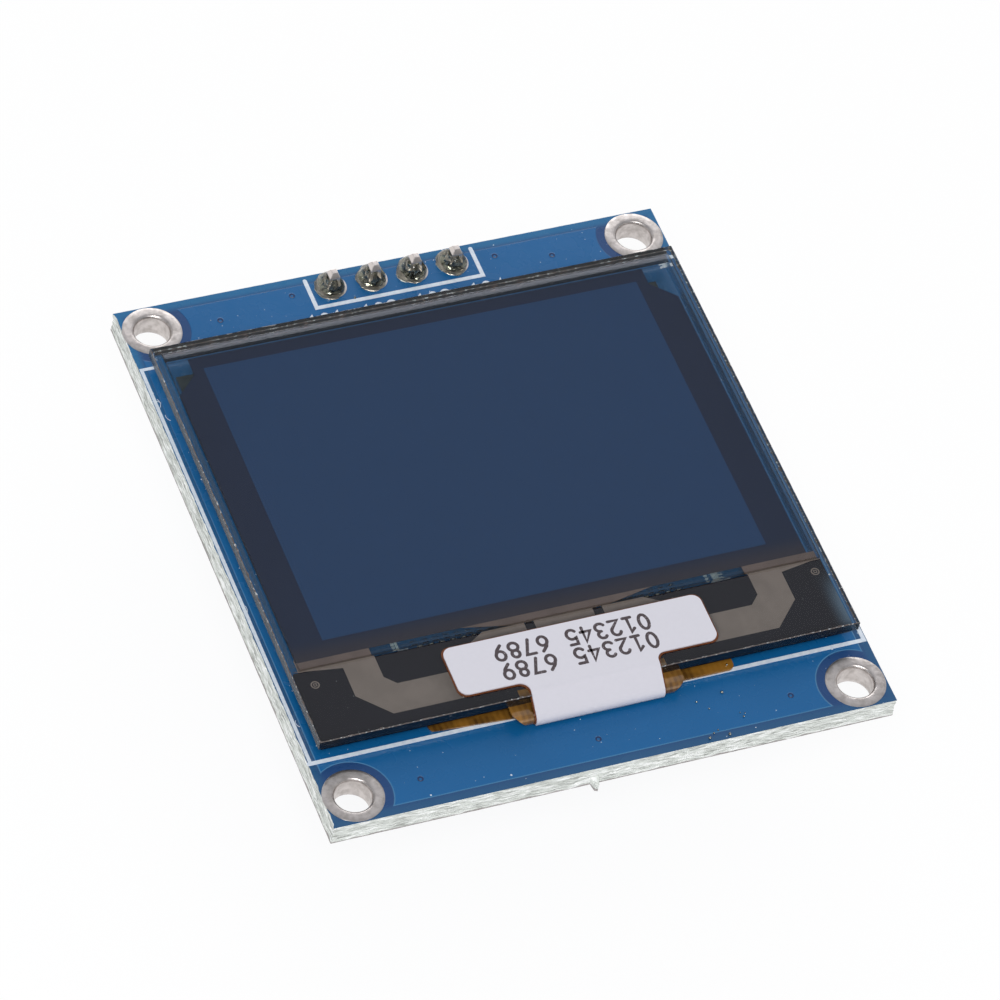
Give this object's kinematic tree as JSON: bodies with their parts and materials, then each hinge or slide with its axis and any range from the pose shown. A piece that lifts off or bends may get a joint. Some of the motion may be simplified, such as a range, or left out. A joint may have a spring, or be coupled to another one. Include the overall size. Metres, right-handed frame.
{
  "type": "small oled display module",
  "caption": "Small glass display panel taped to a blue circuit board with corner mounting holes, a folded flex cable under the panel and a pin header along the upper edge.",
  "frame": {"origin": "centre of the four mounting holes, on the circuit board's back face", "axes": "+X to the right of the display, +Y up the display towards the pin header, +Z out of the display towards the viewer"},
  "size_m": [0.0338, 0.0377, 0.0118],
  "materials": {
    "board": "blue solder mask over fibreglass",
    "tinned": "bare tinned copper, slightly dull",
    "solder": "bright solder",
    "print": "white printed ink",
    "housing": "black moulded plastic",
    "pin": "plated square wire",
    "tape": "white foam tape",
    "glass": "clear glass with cut edges",
    "seal": "clear hardened resin",
    "dryer": "pale drying sheet",
    "electrode": "dark electrode layer behind glass",
    "pixels": "unlit pixels behind glass",
    "conductor": "thin metal film",
    "silicon": "bare silicon",
    "resin": "black cast resin",
    "polariser": "grey polarising film",
    "flex": "amber polyimide",
    "amber": "amber tape",
    "label": "white label film",
    "package": "black moulded package with tinned leads",
    "ceramic": "ceramic with tinned ends",
    "resistor": "black film on ceramic with tinned ends",
    "ferrite": "grey ferrite with tinned feet"
  },
  "bodies": {
    "root": {"circuit_board": "board", "mounting_rings": "tinned", "header_pads": "tinned", "flex_pads": "tinned", "print_lines": "print", "header_housing": "housing", "header_pin_1": "pin", "header_pin_2": "pin", "header_pin_3": "pin", "header_pin_4": "pin", "pin_solder_1": "solder", "pin_solder_2": "solder", "pin_solder_3": "solder", "pin_solder_4": "solder", "flex_solder": "solder", "panel_tape": "tape", "cover_glass": "glass", "drying_sheet": "dryer", "glass_seal": "seal", "electrode_frame": "electrode", "pixel_field": "pixels", "ledge_conductors": "conductor", "driver_chip": "silicon", "ledge_resin": "resin", "front_glass": "glass", "polariser": "polariser", "flex_cable": "flex", "amber_tape": "amber", "panel_label": "label", "voltage_regulator": "package", "boost_converter": "package", "boost_inductor": "ferrite", "boost_diode": "package", "capacitor_1": "ceramic", "capacitor_2": "ceramic", "capacitor_3": "ceramic", "capacitor_4": "ceramic", "capacitor_5": "ceramic", "capacitor_6": "ceramic", "capacitor_7": "ceramic", "capacitor_8": "ceramic", "resistor_1": "resistor", "resistor_2": "resistor", "resistor_3": "resistor", "resistor_4": "resistor", "resistor_5": "resistor", "resistor_6": "resistor", "resistor_7": "resistor", "resistor_8": "resistor"}
  },
  "joints": []
}
